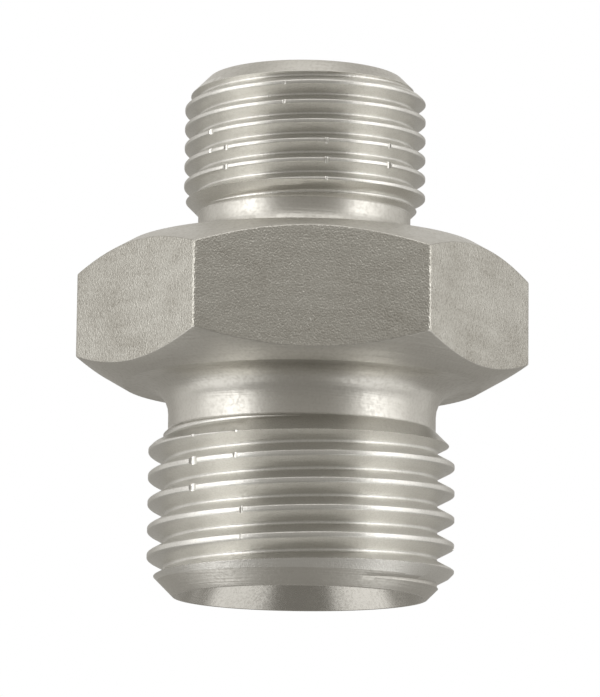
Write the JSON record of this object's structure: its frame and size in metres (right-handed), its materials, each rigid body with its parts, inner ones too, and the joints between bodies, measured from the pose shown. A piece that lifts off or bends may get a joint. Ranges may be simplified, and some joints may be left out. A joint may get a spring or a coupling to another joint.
{
  "type": "hex nipple",
  "caption": "Short one-piece reducing pipe nipple: a chamfered hexagon between a larger and a smaller male parallel pipe thread, with a bore and cone seats through it.",
  "frame": {"origin": "centre of the larger thread's end face, on the axis of the bore", "axes": "+Z along the axis, from the larger thread to the smaller one; one hexagon flat faces -Y and two hexagon corners lie on the X axis"},
  "size_m": [0.0312, 0.027, 0.036],
  "materials": {
    "steel": "turned and pickled stainless steel, satin, with grainy drawn hexagon flats"
  },
  "bodies": {
    "root": {"nipple_body": "steel"}
  },
  "joints": []
}
